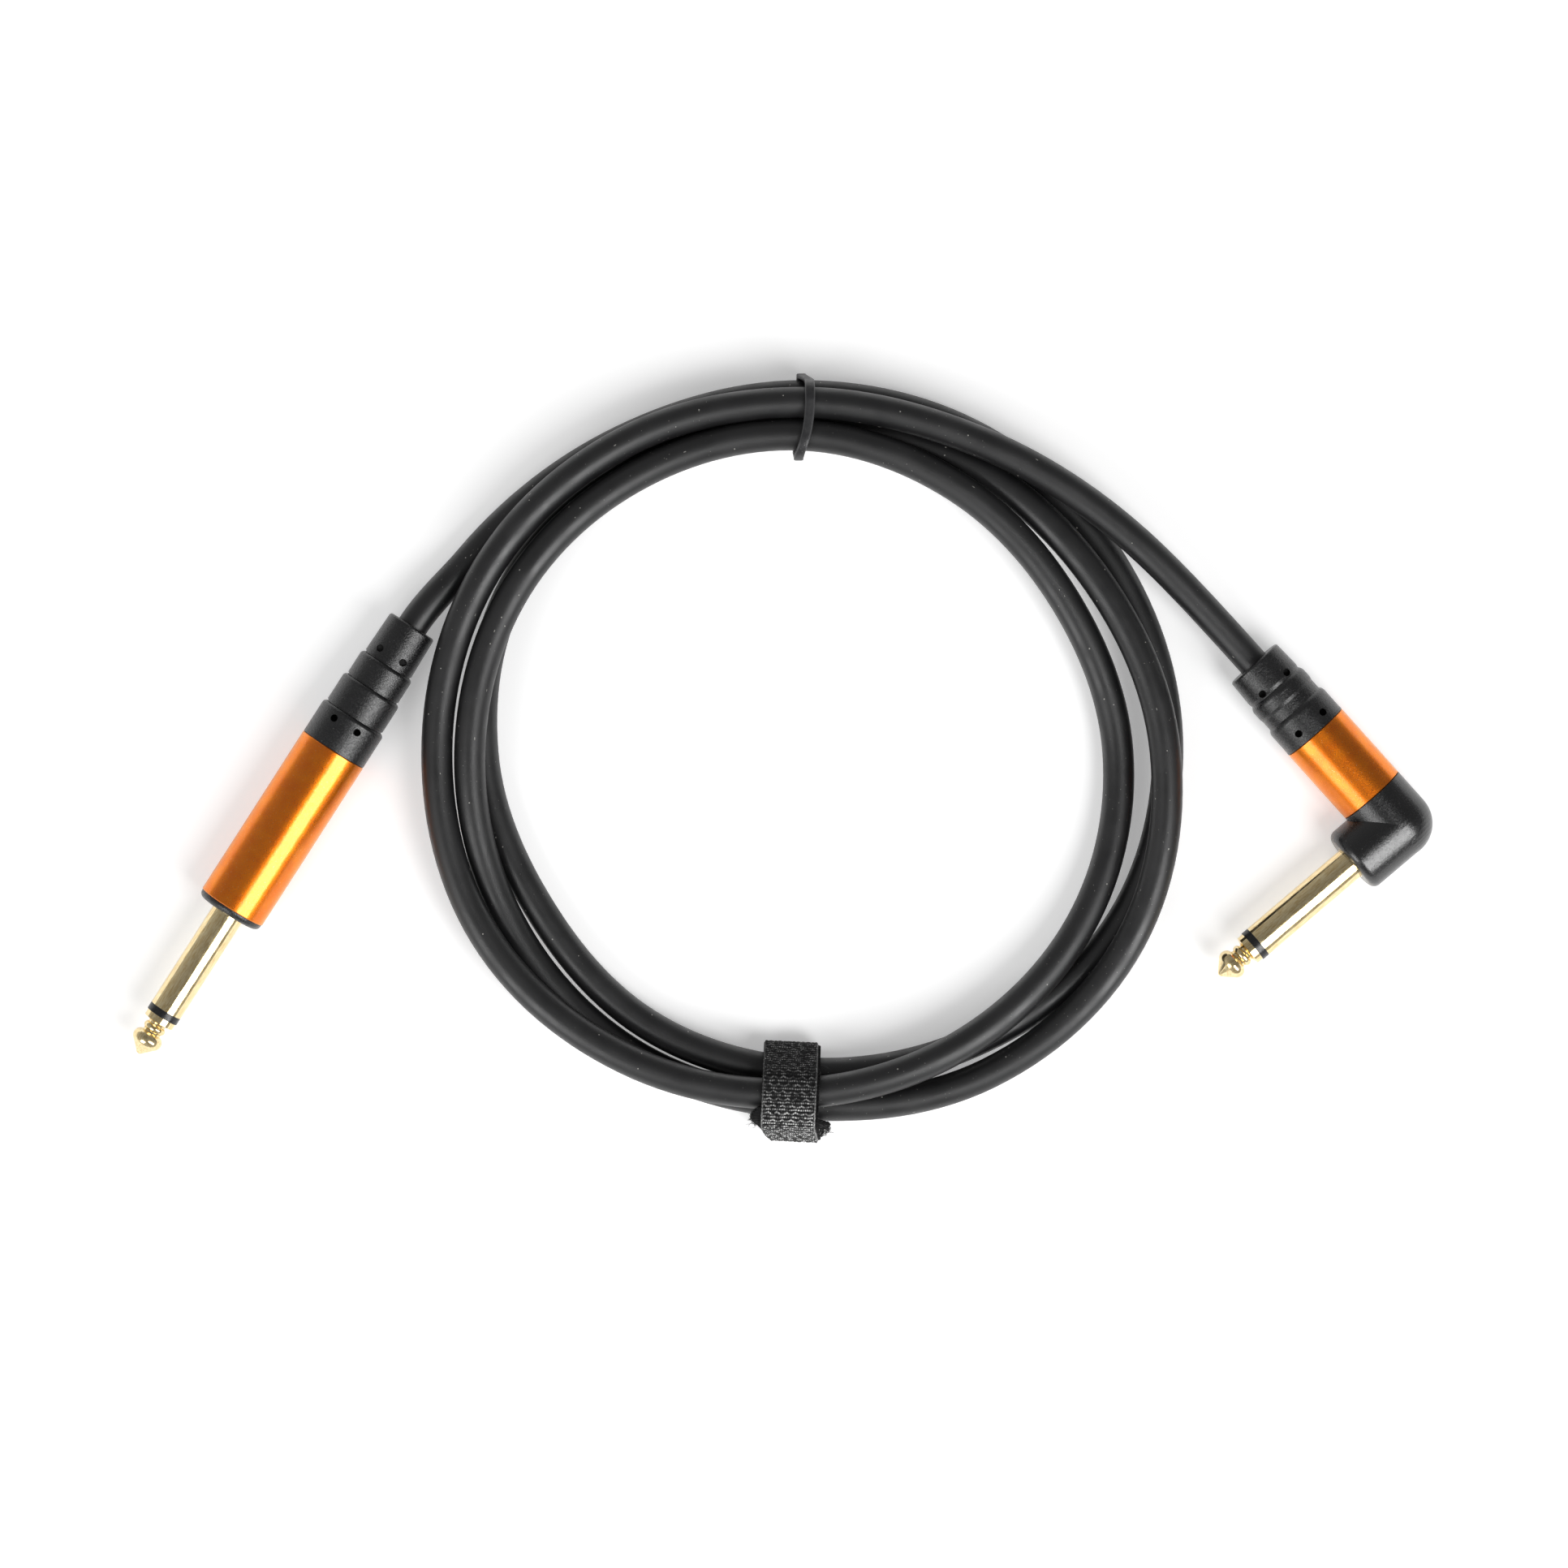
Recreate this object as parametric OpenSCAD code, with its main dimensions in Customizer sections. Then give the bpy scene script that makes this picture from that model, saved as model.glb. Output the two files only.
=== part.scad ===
// Instrument cable: a straight and a right-angled 6.35 mm two-pole plug moulded onto one cable,
// which is stored as a loose coil of three turns held by a rubber band and a hook-and-loop tie.
// Millimetres, +Z up, lying on the plane z = 0.

/* [Cable] */
// Outer diameter of the cable jacket
cable_d = 5.9; // [5:0.1:5.9]
// Diameter of the insulated core wire
core_d = 2.4; // [1.8:0.1:2.6]
// Diameter of the bare conductor
conductor_d = 1.2; // [0.8:0.1:1.4]
// Diameter of the twisted shield tail
shield_d = 1.6; // [1:0.1:1.6]

/* [Plug shank] */
// Diameter of the sleeve contact
sleeve_d = 6.35; // [6.2:0.05:6.5]
// Wall of the sleeve contact
sleeve_wall = 0.85; // [0.6:0.05:1]
// Length of the sleeve held inside the moulding
sleeve_tail = 6.6; // [5:0.1:7]
// Diameter of the sleeve's root inside the moulding
sleeve_root_d = 6.8; // [6.7:0.1:7.2]
// Thickness of the flange at the sleeve's rear end
flange_t = 1; // [0.6:0.1:1.6]
// Length of the insulating ring between sleeve and tip
ring_l = 1.4; // [0.8:0.1:2]
// Length of the tip contact ahead of the ring
tip_l = 8.3; // [8:0.1:9.5]
// Diameter of the collar at the rear of the tip
collar_d = 6; // [5.5:0.1:6]
// Length of that collar
collar_l = 1.2; // [0.8:0.1:1.4]
// Length of the chamfer that runs from the collar into the neck
collar_chamfer = 0.4; // [0.2:0.1:0.5]
// Diameter of the two necks of the tip
neck_d = 3.5; // [3.2:0.1:3.8]
// Diameter of the small bead between the necks
bead_d = 4.4; // [4:0.1:4.8]
// Rounding of the bead
bead_r = 0.75; // [0.5:0.05:0.8]
// Diameter of the ball at the front of the tip
ball_d = 5.9; // [5.4:0.1:6.2]
// Rounding of the ball's largest circle
ball_r = 1.5; // [1.2:0.1:1.6]
// Diameter of the blunt front end
nose_d = 1.1; // [0.6:0.1:1.6]
// Diameter of the centre rod that carries the tip
rod_d = 2.4; // [2:0.1:2.6]
// Depth of the rod's seat in the tip
rod_seat = 3; // [2:0.5:4]
// Length of the rod behind the shoulder
rod_tail = 10.6; // [10:0.1:10.6]
// Running clearance between pieces that slide into each other
fit = 0.05; // [0.02:0.01:0.1]

/* [Terminals] */
// Thickness of the tin-plated sheet
lug_t = 0.6; // [0.4:0.1:0.8]
// Outer diameter of the tip lug's washer
tip_lug_d = 5.6; // [5:0.1:5.7]
// Width of the tip lug's tab
tab_w = 2; // [1.6:0.1:2.6]
// Length of that tab behind the rod
tab_l = 5; // [4:0.5:6]
// Width of the ground clamp's arm
arm_w = 2.4; // [2:0.1:3]
// Length of the clamp that grips the jacket
clamp_l = 3.4; // [2.5:0.1:4]
// Distance from the jacket's cut end to the clamp
clamp_gap = 1; // [0.5:0.1:1.5]
// Distance from the boot's spigot to the clamp
clamp_margin = 2; // [1.8:0.1:2.4]

/* [Barrels and mouldings] */
// Outer diameter of the metal barrels
barrel_d = 13.3; // [12.8:0.1:14]
// Wall of the metal barrels
barrel_wall = 0.9; // [0.6:0.1:1.2]
// Bevel on the barrels' edges
barrel_bevel = 0.2; // [0.1:0.05:0.4]
// Wall of the filling around the terminals
moulding_wall = 1.4; // [1:0.1:1.4]
// Length of the boots' spigot inside the barrel
boot_spigot = 4.4; // [3:0.1:4.4]

/* [Boots] */
// Rounding of the boots' cable end
boot_end_r = 0.5; // [0.3:0.1:0.8]
// Taper of the boots' first segment, on the radius
boot_taper = 0.2; // [0:0.05:0.4]
// Diameter of the mould-pin holes
pin_hole_d = 1.4; // [1:0.1:1.6]
// Height of the pin holes' floor above the cable's axis
pin_hole_floor = 3.3; // [3.2:0.1:3.6]

/* [Straight plug] */
// Length of the shank in front of the shoulder
straight_shank = 31.4; // [30:0.1:33]
// Height of the front cap
straight_cap_l = 1.3; // [1.2:0.1:2.5]
// Rounding of the front cap's edge
straight_cap_r = 1.1; // [0.4:0.1:1.2]
// Step from the barrel's surface down to the front cap's
straight_cap_step = 0.15; // [0.05:0.05:0.3]
// Width of the flat land around the shank
straight_cap_land = 0.6; // [0.4:0.1:1]
// Depth of the front cap's spigot inside the barrel
front_spigot = 7.7; // [7:0.1:9]
// Length of the barrel
straight_barrel_l = 35.4; // [32:0.1:45]
// Diameter of the boot's first segment
straight_boot_d = 10.1; // [9.4:0.1:11]
// Diameter of the boot next to the barrel
straight_boot_front_d = 13.2; // [12.6:0.1:13.2]
// Boot segment at the cable end
straight_segment_1 = 8.4; // [7.8:0.1:12]
// Second boot segment
straight_segment_2 = 5.3; // [3:0.1:9]
// Third boot segment
straight_segment_3 = 6.3; // [3:0.1:9]
// Boot segment at the barrel
straight_segment_4 = 7.5; // [6:0.1:12]
// Depth of the groove between two segments
straight_groove_depth = 0.2; // [0.2:0.05:0.3]
// Width of that groove
straight_groove_w = 0.3; // [0.2:0.05:0.7]
// Rounding of each segment's shoulder
straight_shoulder_r = 0.8; // [0.8:0.1:1.2]
// Distance of the rear pair of pin holes from the cable end
straight_pins_rear = 6.7; // [4:0.1:7]
// Distance of the front pair of pin holes from the barrel
straight_pins_front = 5.2; // [2:0.1:5.2]
// Spacing of the two holes of a pair
straight_pin_spacing = 5.1; // [4:0.1:6]

/* [Angled plug] */
// Length of the shank in front of the elbow's face
angled_shank = 32.5; // [30:0.1:33]
// Angle between the cable's axis and the shank's axis
elbow_angle = 91.5; // [88:0.5:94]
// Distance from the barrel to where the two axes cross
elbow_reach = 7.1; // [6.8:0.1:9]
// Distance from where the axes cross to the elbow's face
elbow_face = 11.6; // [11.5:0.1:13]
// Diameter of the leg that the shank stands out of
elbow_leg_d = 13.2; // [12.8:0.1:13.2]
// Rounding of the elbow's face edge
elbow_face_r = 1.6; // [0.5:0.1:2.2]
// Depth of the elbow's spigot inside the barrel
elbow_spigot = 2.8; // [2:0.1:3.4]
// Length of the barrel
angled_barrel_l = 16.1; // [15.5:0.1:25]
// Diameter of the boot's first segment
angled_boot_d = 11.7; // [10.6:0.1:12]
// Diameter of the boot next to the barrel
angled_boot_front_d = 13.2; // [12.4:0.1:13.2]
// Boot segment at the cable end
angled_segment_1 = 6; // [5.4:0.1:9]
// Second boot segment
angled_segment_2 = 3.5; // [3:0.1:9]
// Boot segment at the barrel
angled_segment_3 = 7.8; // [6:0.1:9]
// Depth of the valley between two segments
angled_groove_depth = 0.15; // [0.1:0.05:0.3]
// Width of the first valley's floor
angled_groove_1_w = 0.1; // [0.1:0.1:1]
// Width of the second valley's floor
angled_groove_2_w = 2; // [0.6:0.1:2.4]
// Length over which a segment's edge slopes into the valley
angled_edge_run = 0.6; // [0.2:0.1:0.8]
// Rounding of each segment's shoulder
angled_shoulder_r = 1.6; // [1.2:0.1:2]
// Thickness of the lip at the boot's front
angled_lip_t = 0.4; // [0.2:0.1:0.6]
// Distance of the rear pair of pin holes from the cable end
angled_pins_rear = 5.2; // [3:0.1:5.2]
// Distance of the front pair of pin holes from the barrel
angled_pins_front = 2.1; // [1.5:0.1:4]
// Spacing of the two holes of a pair
angled_pin_spacing = 6.1; // [5:0.1:6.4]

/* [Tie and band] */
// Width of the hook-and-loop tie
tie_w = 11; // [8:0.5:14]
// Thickness of one layer of the tie
tie_t = 1.2; // [0.8:0.1:1.2]
// Layers of the tie that overlap on the outside of the coil
tie_layers = 2; // [1:1:2]
// Slack of the tie on the outside of the coil
tie_slack = 0.85; // [0.4:0.05:1.2]
// Width of the rubber band
band_w = 1.85; // [1.2:0.05:3]
// Thickness of the rubber band
band_t = 0.8; // [0.5:0.1:0.8]
// Clearance between the cable and what is wrapped around it
wrap_gap = 0.35; // [0.3:0.05:0.4]

/* [Hidden] */
$fn = 64;
wrap_fn = 24;
profile_steps = 12;
cable_sides = 10;
overcut = 1;
// Gap between a tab's end and the core's insulation, and how far the angled tab reaches past the elbow
lug_gap = 0.2;
tab_overlap = 1;
// Gap around the flange in its chamber, and how much wider the chamber in the elbow's other leg is
flange_gap = 0.1;
elbow_chamber_step = 0.4;

// Boot segment lengths, from the cable end to the barrel
straight_segments = [straight_segment_1, straight_segment_2, straight_segment_3, straight_segment_4];
angled_segments = [angled_segment_1, angled_segment_2, angled_segment_3];

function total(values, count) = count == 0 ? 0 : values[count - 1] + total(values, count - 1);

straight_boot_l = total(straight_segments, len(straight_segments));
straight_body_l = straight_boot_l + straight_barrel_l + straight_cap_l;
angled_boot_l = total(angled_segments, len(angled_segments));
angled_cross = angled_boot_l + angled_barrel_l + elbow_reach;
bore_d = barrel_d - 2 * barrel_wall;
chamber_d = bore_d - 2 * fit - 2 * moulding_wall;
flange_d = chamber_d - 2 * flange_gap;
elbow_chamber_d = chamber_d + elbow_chamber_step;
tube_od = sleeve_d - 2 * sleeve_wall - 2 * fit;
jacket_bore_d = cable_d + 2 * fit;

// Where the cable leaves each boot, and the compass heading of each plug from there
straight_exit = [-69.8, 24.8];
straight_heading = -122.7;
angled_exit = [88.6, 17.8];
angled_heading = -48.1;

// The coil runs clockwise around its centre, seen from above. Each station is 30 degrees further
// on and gives the cable's distance from the centre and the height of its axis.
coil_centre = [3.75, 1.1];
station_start = 150;
station_step = 30;
rings_per_step = 2;
turn_1 = [[72.6, 5], [68, 4.3], [67.3, 4.3], [68, 3.4], [68.5, 3.2], [69, 3.2], [68, 3.2], [63.5, 3.3],
          [60.5, 4.7], [59.2, 4], [57.9, 3.3], [60.5, 3.2]];
turn_2 = [[63, 3.3], [61.7, 3.8], [61.1, 4.3], [62.5, 5.8], [64, 8.6], [68, 9.6], [71, 8.5], [70, 5.2],
          [66.5, 4.7], [65.5, 3.6], [63.9, 5.4], [62.6, 9.1]];
turn_3 = [[62, 9.6], [60.5, 9.8], [59.4, 10.3], [57.5, 10], [57, 7], [59.5, 4], [61.5, 6], [62.5, 9.6],
          [64, 10.3], [66.5, 10], [69, 8.8], [68.8, 8.8]];
turn_4 = [[68.5, 10], [67, 10.3], [65.5, 10.3], [67, 10], [75, 8.5]];
stations = concat(turn_1, turn_2, turn_3, turn_4);

// Bundle of strands that the tie and the band go round, as [distance from the centre, height]
tie_angle = -92.6;
tie_bundle = [[60.1, 4.5], [66.1, 4.5], [63.8, 10.3]];
band_angle = 89.8;
band_bundle = [[61, 4.3], [67, 4.3], [65.2, 10.3], [59.1, 10.3]];
// The cable's turns drift this far sideways along the tie and the band
tie_drift = 1;
band_drift = 0.4;

// ---------- cable route ----------

function unit(v) = v / norm(v);
function heading_vector(angle) = [cos(angle), sin(angle), 0];
function at_height(p, z) = [p.x, p.y, z];

// Polar station of a point: [angle, distance, height], on the turn that the angle offset names
function polar_of(p, offset, z) =
    let (d = p - coil_centre) [atan2(d.y, d.x) + offset, norm(d), z];

// Rate at which the distance changes with the angle, where the cable runs along a heading
function exit_rate(station, heading) =
    let (d = heading_vector(heading), a = station[0])
    let (out = d.x * cos(a) + d.y * sin(a), around = d.y * cos(a) - d.x * sin(a))
    station[1] * out / around * PI / 180;

axis_z = barrel_d / 2;
start_station = polar_of(straight_exit, 0, axis_z);
end_station = polar_of(angled_exit, -1080, axis_z);
polar_route = concat([start_station],
                     [for (i = [0 : len(stations) - 1])
                         [station_start - station_step * i, stations[i][0], stations[i][1]]],
                     [end_station]);

function rate_at(i) =
    i == 0 ? [exit_rate(start_station, straight_heading + 180), 0]
    : i == len(polar_route) - 1 ? [exit_rate(end_station, angled_heading), 0]
    : let (before = polar_route[i - 1], after = polar_route[i + 1])
      [after[1] - before[1], after[2] - before[2]] / (after[0] - before[0]);

// Cubic through two values with a given rate at each, a fraction t of the way along a span
function cubic(v0, rate0, v1, rate1, span, t) =
    v0 * (1 + 2 * t) * (1 - t) * (1 - t) + rate0 * span * t * (1 - t) * (1 - t)
    + v1 * t * t * (3 - 2 * t) - rate1 * span * t * t * (1 - t);

function route_point(i, t) =
    let (a = polar_route[i], b = polar_route[i + 1], span = b[0] - a[0])
    let (ra = rate_at(i), rb = rate_at(i + 1), angle = a[0] + span * t)
    let (distance = cubic(a[1], ra[0], b[1], rb[0], span, t))
    let (z = cubic(a[2], ra[1], b[2], rb[1], span, t))
    [coil_centre.x + distance * cos(angle), coil_centre.y + distance * sin(angle), z];

jacket_inset = boot_spigot + clamp_margin + clamp_l + clamp_gap;
straight_jacket_end = straight_boot_l + jacket_inset;
angled_jacket_end = angled_boot_l + jacket_inset;
cable_points = concat(
    [at_height(straight_exit, axis_z) + straight_jacket_end * heading_vector(straight_heading)],
    [for (i = [0 : len(polar_route) - 2])
        for (k = [0 : rings_per_step - 1])
            route_point(i, k / rings_per_step)],
    [at_height(angled_exit, axis_z),
     at_height(angled_exit, axis_z) + angled_jacket_end * heading_vector(angled_heading)]);

function cable_direction(i) =
    i <= 1 ? -heading_vector(straight_heading)
    : i >= len(cable_points) - 2 ? heading_vector(angled_heading)
    : unit(cable_points[i + 1] - cable_points[i - 1]);

function cable_ring(i) =
    let (along = cable_direction(i), side = unit(cross(along, [0, 0, 1])), up = cross(side, along))
    [for (k = [0 : cable_sides - 1])
        let (angle = 360 * (k + 0.5) / cable_sides)
        cable_points[i] + cable_d / 2 * (side * cos(angle) + up * sin(angle))];

module cable() {
    last = len(cable_points) - 1;
    points = [for (i = [0 : last]) each cable_ring(i)];
    start_cap = [for (k = [0 : cable_sides - 1]) k];
    end_cap = [for (k = [cable_sides - 1 : -1 : 0]) last * cable_sides + k];
    sides = [for (i = [0 : last - 1]) for (k = [0 : cable_sides - 1])
                let (a = i * cable_sides + k, b = i * cable_sides + (k + 1) % cable_sides)
                each [[a, a + cable_sides, b], [b, a + cable_sides, b + cable_sides]]];
    color("#2b2b2d") polyhedron(points, concat([start_cap], sides, [end_cap]), convexity = 10);
}

// ---------- placement ----------

// Origin where the cable leaves the boot, +Z towards the plug's front, -Y towards the angled shank
module at_straight() {
    translate(at_height(straight_exit, axis_z)) rotate([0, 90, straight_heading]) children();
}

module at_angled() {
    translate(at_height(angled_exit, axis_z)) rotate([0, 90, angled_heading]) children();
}

// Origin on the shoulder that the shank stands out of, +Z towards the tip
module at_straight_shank() {
    at_straight() translate([0, 0, straight_body_l]) children();
}

module at_angled_shank() {
    at_angled() translate([0, 0, angled_cross]) rotate([elbow_angle, 0, 0])
        translate([0, 0, elbow_face]) children();
}

// ---------- shapes shared by the two plugs ----------

function arc(centre, r, from, to) =
    [for (i = [0 : profile_steps])
        let (angle = from + (to - from) * i / profile_steps)
        centre + r * [cos(angle), sin(angle)]];

module tube(outer_d, inner_d, from, to) {
    translate([0, 0, from]) difference() {
        cylinder(d = outer_d, h = to - from);
        translate([0, 0, -overcut]) cylinder(d = inner_d, h = to - from + 2 * overcut);
    }
}

// Tip contact: collar, neck, bead, neck and a ball that runs out in a cone
module tip(shank) {
    neck_l = 0.25;
    nose_round = 0.2;
    bead_angle = 70;
    ball_from = -75;
    cone_from = 42;
    neck_end = collar_l + collar_chamfer;
    bead_z = neck_end + neck_l + bead_r;
    ball_z = bead_z + bead_r + neck_l + ball_r;
    profile = concat(
        [[0, 0], [collar_d / 2, 0], [collar_d / 2, collar_l], [neck_d / 2, neck_end]],
        arc([bead_d / 2 - bead_r, bead_z], bead_r, -bead_angle, bead_angle),
        [[neck_d / 2, bead_z + bead_r]],
        arc([ball_d / 2 - ball_r, ball_z], ball_r, ball_from, cone_from),
        [[nose_d / 2, tip_l - nose_round], [nose_d / 4, tip_l], [0, tip_l]]);
    color("#d9b66a") translate([0, 0, shank - tip_l]) difference() {
        rotate_extrude() polygon(profile);
        translate([0, 0, -overcut]) cylinder(d = rod_d + 2 * fit, h = rod_seat + overcut);
    }
}

module tip_ring(shank) {
    color("#202022") tube(sleeve_d, rod_d + 2 * fit, shank - tip_l - ring_l, shank - tip_l);
}

module sleeve(shank) {
    color("#d9b66a") difference() {
        union() {
            translate([0, 0, -sleeve_tail]) cylinder(d = sleeve_d, h = sleeve_tail + shank - tip_l - ring_l);
            translate([0, 0, -sleeve_tail]) cylinder(d = sleeve_root_d, h = sleeve_tail);
            translate([0, 0, -sleeve_tail]) cylinder(d = flange_d, h = flange_t);
        }
        translate([0, 0, -sleeve_tail - overcut])
            cylinder(d = tube_od + 2 * fit, h = sleeve_tail + shank + overcut);
    }
}

// Hole in the moulding around the sleeve's root, and the chamber behind it
module sleeve_seat(depth) {
    translate([0, 0, -sleeve_tail]) cylinder(d = sleeve_root_d + 2 * fit, h = sleeve_tail + overcut);
    translate([0, 0, -depth - overcut]) cylinder(d = chamber_d, h = depth + overcut - sleeve_tail + flange_t);
}

module inner_tube(shank) {
    color("#e8e4d8") tube(tube_od, rod_d + 2 * fit, lug_t - rod_tail, shank - tip_l - ring_l);
}

module rod(shank) {
    color("#b8b8ba") translate([0, 0, -rod_tail]) cylinder(d = rod_d, h = rod_tail + shank - tip_l + rod_seat);
}

// Washer of the tip lug with the tab given as a child, both cut by the rod's seat
module tip_lug() {
    color("#c9c9c6") difference() {
        union() {
            translate([0, 0, -rod_tail]) cylinder(d = tip_lug_d, h = lug_t);
            children();
        }
        translate([0, 0, -rod_tail]) cylinder(d = rod_d, h = lug_t + overcut);
    }
}

module ground_washer() {
    tube(flange_d, tube_od + 2 * fit, -sleeve_tail - lug_t, -sleeve_tail);
}

// Arm along the cable and the half clamp around the jacket, from the clamp's end to the arm's end
module ground_arm(jacket_end, arm_end) {
    clamp_from = jacket_end - clamp_gap - clamp_l;
    arm_y = cable_d / 2;
    translate([-arm_w / 2, -arm_y - lug_t, clamp_from]) cube([arm_w, lug_t, arm_end - clamp_from]);
    intersection() {
        tube(cable_d + 2 * lug_t, cable_d, clamp_from, clamp_from + clamp_l);
        translate([-cable_d, -2 * cable_d, clamp_from]) cube([2 * cable_d, 2 * cable_d, clamp_l]);
    }
}

module conductor(from, to) {
    color("#b87343") translate([0, 0, from]) cylinder(d = conductor_d, h = to - from);
}

module core_wire(from, to) {
    color("#e9e9ea") translate([0, 0, from]) cylinder(d = core_d, h = to - from);
}

module shield_tail(from, to) {
    color("#b87343") translate([0, (shield_d - cable_d) / 2, from]) cylinder(d = shield_d, h = to - from);
}

// Filling around the terminals inside the barrel
module inner_moulding(from, to, jacket_end) {
    clamp_top = jacket_end - clamp_gap;
    color("#4a4a4c") translate([0, 0, from]) difference() {
        cylinder(d = bore_d - 2 * fit, h = to - from);
        translate([0, 0, -overcut]) cylinder(d = jacket_bore_d, h = to - from + 2 * overcut);
        translate([0, 0, clamp_top - clamp_l - from])
            cylinder(r = norm([arm_w / 2, cable_d / 2 + lug_t]) + fit, h = to - clamp_top + clamp_l + overcut);
        translate([0, 0, clamp_top - from]) cylinder(d = chamber_d, h = to - clamp_top + overcut);
    }
}

module barrel(from, length) {
    rim_r = barrel_d / 2;
    bore_r = bore_d / 2;
    color("#e07a12") translate([0, 0, from]) rotate_extrude()
        polygon([[bore_r, 0], [rim_r - barrel_bevel, 0], [rim_r, barrel_bevel],
                 [rim_r, length - barrel_bevel], [rim_r - barrel_bevel, length], [bore_r, length]]);
}

// Stepped outline of a boot: each segment after the first starts with a groove and a rounded shoulder.
// Each groove is given as [width of its floor, depth, shoulder's rounding, run of the edge into it]
function first_segment(r, length, edge_run) =
    concat(arc([r - boot_taper - boot_end_r, boot_end_r], boot_end_r, -90, 0), [[r, length - edge_run]]);

function next_segment(r, rise, groove, from, to) =
    let (step = rise + groove[1], round_r = groove[2], angle = acos(1 - step / round_r))
    concat([[r - step, from]],
           arc([r - round_r, from + groove[0] + round_r * sin(angle)], round_r, -angle, 0),
           [[r, to]]);

function boot_outline(segments, rear_d, front_d, grooves) =
    let (last = len(segments) - 1, rise = (front_d - rear_d) / 2 / last)
    concat(first_segment(rear_d / 2, segments[0], grooves[0][3]),
           [for (i = [1 : last])
               let (edge_run = i == last ? 0 : grooves[i][3], to = total(segments, i + 1) - edge_run)
               each next_segment(rear_d / 2 + rise * i, rise, grooves[i - 1], total(segments, i), to)]);

module boot(segments, outline, rear_pins, front_pins, spacing) {
    length = total(segments, len(segments));
    difference() {
        union() {
            rotate_extrude() polygon(concat([[0, 0]], outline, [[0, length]]));
            translate([0, 0, length]) cylinder(d = bore_d - 2 * fit, h = boot_spigot);
            children();
        }
        translate([0, 0, -overcut]) cylinder(d = jacket_bore_d, h = length + boot_spigot + 2 * overcut);
        for (z = [rear_pins, length - front_pins])
            for (side = [-1, 1])
                for (face = [-1, 1])
                    translate([face * pin_hole_floor, side * spacing / 2, z]) rotate([0, face * 90, 0])
                        cylinder(d = pin_hole_d, h = barrel_d);
    }
}

// ---------- straight plug ----------

straight_core_end = straight_body_l - rod_tail - tab_l - lug_gap;

module straight_tip() { at_straight_shank() tip(straight_shank); }
module straight_tip_ring() { at_straight_shank() tip_ring(straight_shank); }
module straight_sleeve() { at_straight_shank() sleeve(straight_shank); }
module straight_inner_tube() { at_straight_shank() inner_tube(straight_shank); }
module straight_rod() { at_straight_shank() rod(straight_shank); }

module straight_tip_lug() {
    at_straight_shank() tip_lug()
        translate([-tab_w / 2, -conductor_d / 2 - lug_t, -rod_tail - tab_l])
            cube([tab_w, lug_t, tab_l + lug_t / 2]);
}

module straight_ground_clamp() {
    color("#c9c9c6") union() {
        at_straight_shank() ground_washer();
        at_straight() ground_arm(straight_jacket_end, straight_body_l - sleeve_tail - lug_t / 2);
    }
}

module straight_conductor() {
    at_straight() conductor(straight_core_end, straight_body_l - rod_tail);
}

module straight_core_wire() { at_straight() core_wire(straight_jacket_end, straight_core_end); }

module straight_shield_tail() {
    at_straight() shield_tail(straight_jacket_end, (straight_jacket_end + straight_core_end) / 2);
}

// Front cap that the shank stands out of, with its spigot inside the barrel
module straight_front_moulding() {
    cap_d = barrel_d - 2 * straight_cap_step;
    edge_angle = 80;
    color("#262628") at_straight_shank() difference() {
        union() {
            rotate_extrude()
                polygon(concat([[0, -straight_cap_l], [cap_d / 2, -straight_cap_l]],
                               arc([cap_d / 2 - straight_cap_r, -straight_cap_r],
                                   straight_cap_r, 0, edge_angle),
                               [[sleeve_d / 2 + straight_cap_land, 0], [0, 0]]));
            translate([0, 0, -straight_cap_l - front_spigot]) cylinder(d = bore_d - 2 * fit, h = front_spigot);
        }
        sleeve_seat(straight_cap_l + front_spigot);
    }
}

module straight_inner_moulding() {
    at_straight()
        inner_moulding(straight_boot_l + boot_spigot, straight_body_l - straight_cap_l - front_spigot,
                       straight_jacket_end);
}

module straight_barrel() { at_straight() barrel(straight_boot_l, straight_barrel_l); }

module straight_boot() {
    groove = [straight_groove_w, straight_groove_depth, straight_shoulder_r, 0];
    outline = boot_outline(straight_segments, straight_boot_d, straight_boot_front_d, [groove, groove, groove]);
    color("#262628") at_straight()
        boot(straight_segments, outline, straight_pins_rear, straight_pins_front, straight_pin_spacing);
}

// ---------- angled plug ----------

angled_tab_l = elbow_reach + tab_overlap;
angled_core_end = angled_cross - angled_tab_l - lug_gap;

module angled_tip() { at_angled_shank() tip(angled_shank); }
module angled_tip_ring() { at_angled_shank() tip_ring(angled_shank); }
module angled_sleeve() { at_angled_shank() sleeve(angled_shank); }
module angled_inner_tube() { at_angled_shank() inner_tube(angled_shank); }
module angled_rod() { at_angled_shank() rod(angled_shank); }

module angled_tip_lug() {
    at_angled_shank() tip_lug()
        translate([-tab_w / 2, -angled_tab_l, -rod_tail]) cube([tab_w, angled_tab_l, lug_t]);
}

// The washer's tongue runs towards the cable, steps down and meets the arm
module angled_ground_clamp() {
    step_inset = 0.3;
    step_y = step_inset - flange_d / 2;
    drop = elbow_face - cable_d / 2 - lug_t / 2 - sleeve_tail;
    color("#c9c9c6") union() {
        at_angled_shank() ground_washer();
        at_angled_shank() translate([-arm_w / 2, step_y, -sleeve_tail - drop]) cube([arm_w, lug_t, drop]);
        at_angled() ground_arm(angled_jacket_end, angled_cross + step_y + lug_t);
    }
}

module angled_conductor() {
    at_angled() conductor(angled_core_end, angled_cross - rod_d / 2);
}

module angled_core_wire() { at_angled() core_wire(angled_jacket_end, angled_core_end); }
module angled_shield_tail() { at_angled() shield_tail(angled_jacket_end, angled_core_end); }

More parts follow.
